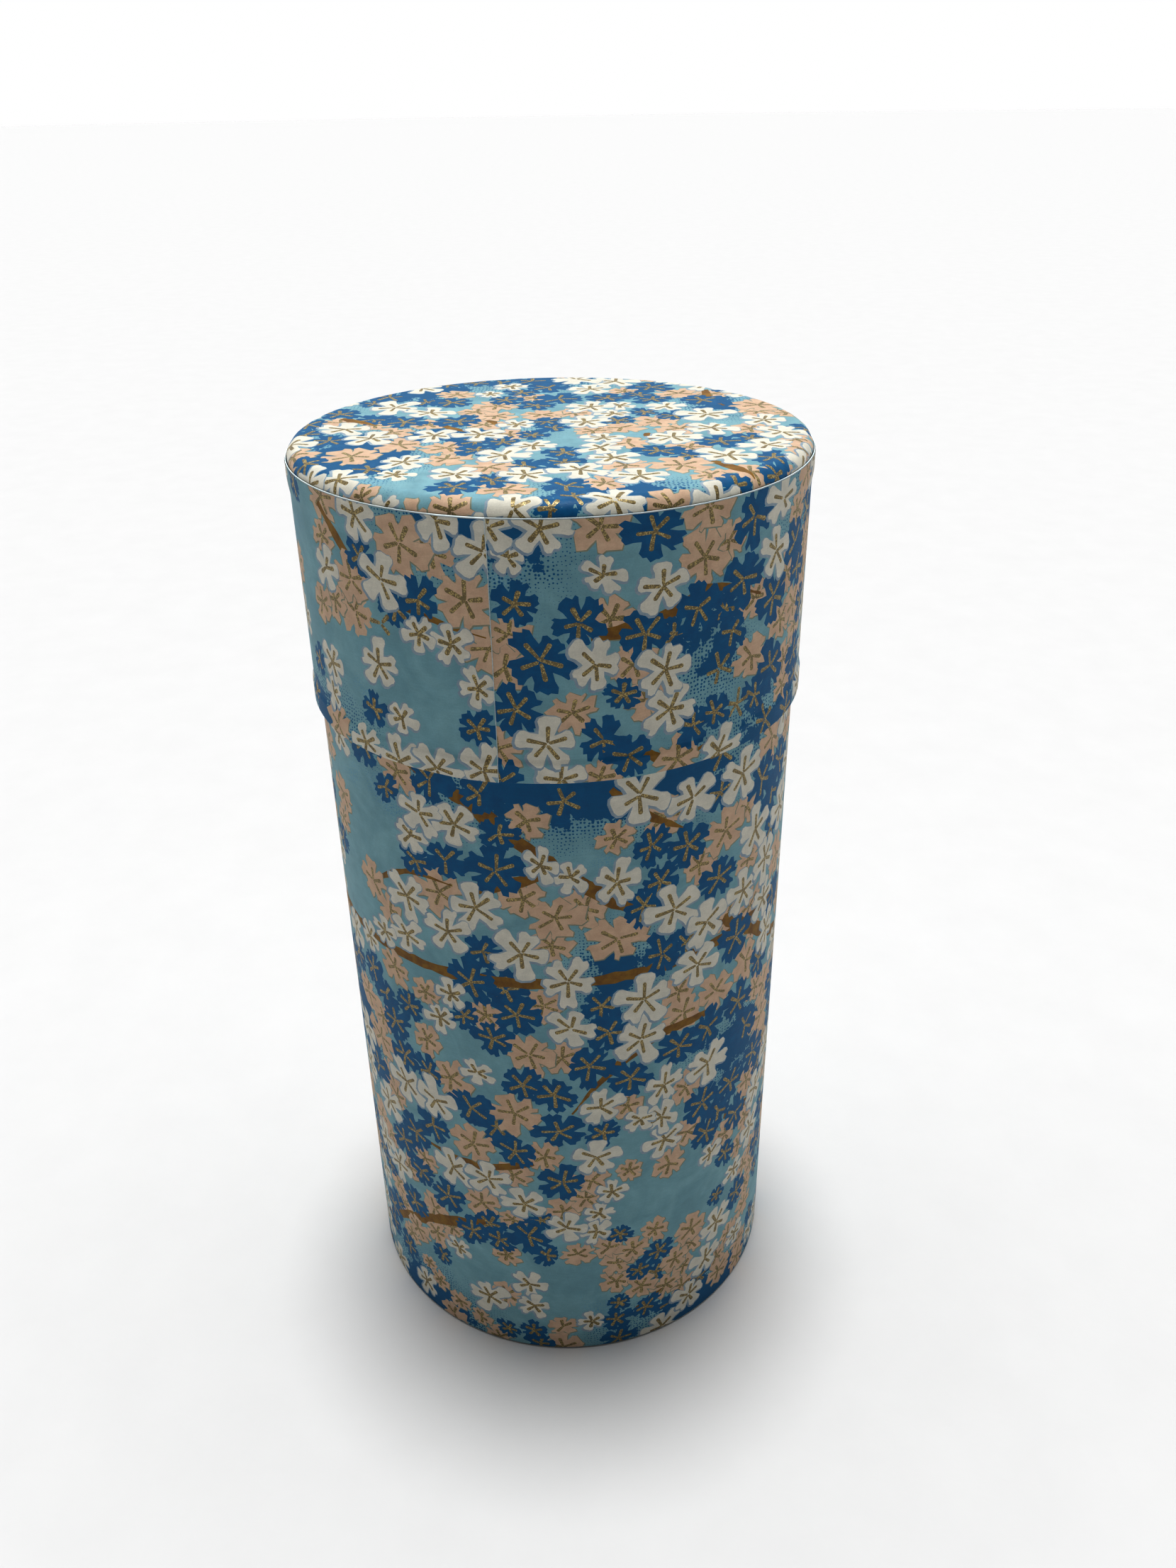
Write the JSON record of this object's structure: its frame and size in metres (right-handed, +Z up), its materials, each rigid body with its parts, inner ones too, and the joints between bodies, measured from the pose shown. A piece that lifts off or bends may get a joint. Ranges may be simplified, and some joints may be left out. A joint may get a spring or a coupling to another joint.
{
  "type": "paper-covered tea caddy",
  "caption": "Round tinplate storage canister covered in patterned paper, with a deep slip lid and a plug lid with a knob inside it.",
  "frame": {"origin": "centre of the foot ring that the canister stands on", "axes": "+Z up along the canister's axis, the way both lids lift; -Y is the front, seen in the reference view"},
  "size_m": [0.0776, 0.0776, 0.1566],
  "materials": {
    "tinplate": "bright rolled tinplate",
    "lid_tinplate": "bright drawn tinplate",
    "printed_paper": "matte silk-screened hand-made paper"
  },
  "bodies": {
    "can": {"body_tube": "tinplate", "base_plate": "tinplate", "body_paper": "printed_paper"},
    "plug_lid": {"inner_lid": "lid_tinplate", "inner_lid_knob": "lid_tinplate", "knob_rivet": "lid_tinplate"},
    "outer_lid": {"lid_shell": "lid_tinplate", "lid_top_paper": "printed_paper", "lid_side_paper": "printed_paper"}
  },
  "joints": [
    {"name": "outer_lid_lift", "type": "slide", "parent": "can", "child": "outer_lid", "axis": [0, 0, 1], "range_m": [0, 0.14]},
    {"name": "plug_lid_lift", "type": "slide", "parent": "can", "child": "plug_lid", "axis": [0, 0, 1], "range_m": [0, 0.063]}
  ],
  "couplings": [
    {"joint": "plug_lid_lift", "follows": "outer_lid_lift", "ratio": 0.45}
  ]
}
